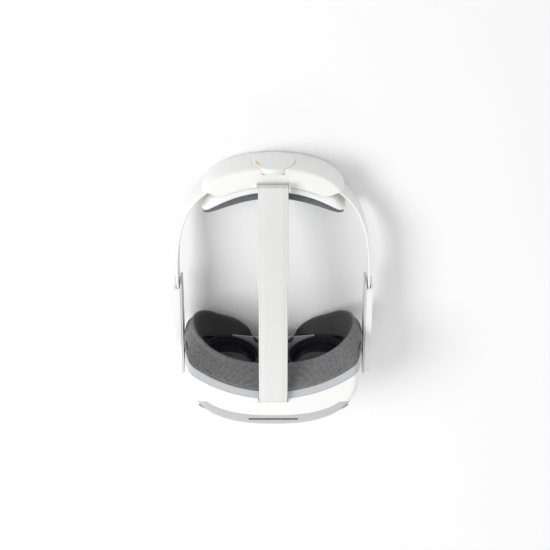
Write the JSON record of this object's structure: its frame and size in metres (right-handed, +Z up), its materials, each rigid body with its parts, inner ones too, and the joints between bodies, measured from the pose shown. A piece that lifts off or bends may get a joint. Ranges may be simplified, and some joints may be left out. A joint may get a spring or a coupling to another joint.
{
  "type": "vr headset",
  "caption": "Standalone VR headset: curved visor with foam face cushion, pivoting side arms, sliding rear battery cradle with fit dial, and a flat top strap.",
  "frame": {"origin": "on the surface the headset rests on, under the middle of its overall box", "axes": "+Z up as worn, the visor looks along -Y and the rear cradle is at +Y, +X is the wearer's left"},
  "size_m": [0.165, 0.2228, 0.0832],
  "materials": {
    "white_plastic": "satin moulded white plastic",
    "grey_plastic": "satin moulded light grey plastic",
    "dark_plastic": "matt black plastic",
    "guard_rubber": "soft light grey elastomer",
    "foam_fabric": "knitted mid grey fabric over foam",
    "pad_fabric": "bluish grey knitted fabric over foam",
    "strap_fabric": "off-white woven webbing",
    "camera_glass": "glossy black window",
    "lens_glass": "coated pancake lens",
    "display_panel": "dark glossy display",
    "metal": "plain machined steel",
    "alloy": "bare aluminium",
    "circuit": "green solder mask",
    "battery_wrap": "dark shrink wrap"
  },
  "bodies": {
    "visor": {"visor_shell": "white_plastic", "front_cover": "grey_plastic", "rear_bezel": "grey_plastic", "top_vent_grille": "dark_plastic", "bottom_vent_grille": "dark_plastic", "inner_cover": "dark_plastic", "nose_guard": "guard_rubber", "cushion_frame": "dark_plastic", "face_cushion": "foam_fabric", "tracking_cameras": "camera_glass", "colour_camera": "camera_glass", "main_board": "circuit", "heat_sink": "alloy", "fan_housing": "dark_plastic", "ipd_motor": "metal", "ipd_guide_rod": "metal", "ipd_bearings": "metal", "proximity_sensor": "camera_glass", "visor_screws": "metal", "strap_anchor": "grey_plastic", "left_hinge_block": "metal", "right_hinge_block": "metal", "front_strap": "strap_fabric"},
    "lens_left": {"left_lens_carriage": "dark_plastic", "left_lens": "lens_glass", "left_display": "display_panel"},
    "lens_right": {"right_lens_carriage": "dark_plastic", "right_lens": "lens_glass", "right_display": "display_panel"},
    "lead_screw": {"ipd_lead_screw": "metal"},
    "fan": {"fan_rotor": "dark_plastic"},
    "volume_up": {"volume_up_button": "grey_plastic"},
    "volume_down": {"volume_down_button": "grey_plastic"},
    "power": {"power_button": "grey_plastic"},
    "arms": {"left_hinge_pin": "metal", "right_hinge_pin": "metal", "left_arm_outer": "white_plastic", "right_arm_outer": "white_plastic", "left_arm_inner": "grey_plastic", "right_arm_inner": "grey_plastic", "left_speaker": "dark_plastic", "right_speaker": "dark_plastic", "usb_port": "metal", "arm_screws": "metal"},
    "cradle": {"left_band": "white_plastic", "right_band": "white_plastic", "rear_cover": "white_plastic", "rear_frame": "white_plastic", "rear_pad": "pad_fabric", "left_battery": "battery_wrap", "right_battery": "battery_wrap", "battery_board": "circuit", "dial_racks": "dark_plastic", "ratchet_spring": "metal", "strap_loop": "grey_plastic", "rear_strap": "strap_fabric", "rear_screws": "metal"},
    "fit_dial": {"dial": "white_plastic", "dial_shaft": "metal", "dial_pinion": "dark_plastic"}
  },
  "joints": [
    {"name": "arms_tilt", "type": "hinge", "parent": "visor", "child": "arms", "pos_m": [0, -0.0654, 0.03], "axis": [1, 0, 0], "range_deg": [0, 30]},
    {"name": "cradle_slide", "type": "slide", "parent": "arms", "child": "cradle", "axis": [0, 1, 0], "range_m": [0, 0.045]},
    {"name": "fit_dial_turn", "type": "hinge", "parent": "cradle", "child": "fit_dial", "pos_m": [0, 0.1076, 0.0178], "axis": [0, 1, 0], "range_deg": [0, 370]},
    {"name": "left_lens_slide", "type": "slide", "parent": "visor", "child": "lens_left", "axis": [1, 0, 0], "range_m": [-0.004, 0.001]},
    {"name": "right_lens_slide", "type": "slide", "parent": "visor", "child": "lens_right", "axis": [-1, 0, 0], "range_m": [-0.004, 0.001]},
    {"name": "lead_screw_turn", "type": "hinge", "parent": "visor", "child": "lead_screw", "pos_m": [0, -0.0799, 0.0685], "axis": [1, 0, 0], "range_deg": [-721, 181]},
    {"name": "fan_spin", "type": "hinge", "parent": "visor", "child": "fan", "pos_m": [0, -0.1024, 0.04], "axis": [0, 1, 0], "continuous": true},
    {"name": "volume_up_press", "type": "slide", "parent": "visor", "child": "volume_up", "axis": [0, 0, 1], "range_m": [0, 0.0008], "stiffness_N_per_m": 1500, "springref_m": -0.0004},
    {"name": "volume_down_press", "type": "slide", "parent": "visor", "child": "volume_down", "axis": [0, 0, 1], "range_m": [0, 0.0008], "stiffness_N_per_m": 1500, "springref_m": -0.0004},
    {"name": "power_press", "type": "slide", "parent": "visor", "child": "power", "axis": [0, 0, 1], "range_m": [0, 0.0008], "stiffness_N_per_m": 1500, "springref_m": -0.0004}
  ],
  "couplings": [
    {"joint": "fit_dial_turn", "follows": "cradle_slide", "rad_per_m": 142.86},
    {"joint": "right_lens_slide", "follows": "left_lens_slide", "ratio": 1},
    {"joint": "lead_screw_turn", "follows": "left_lens_slide", "rad_per_m": 3141.6}
  ]
}
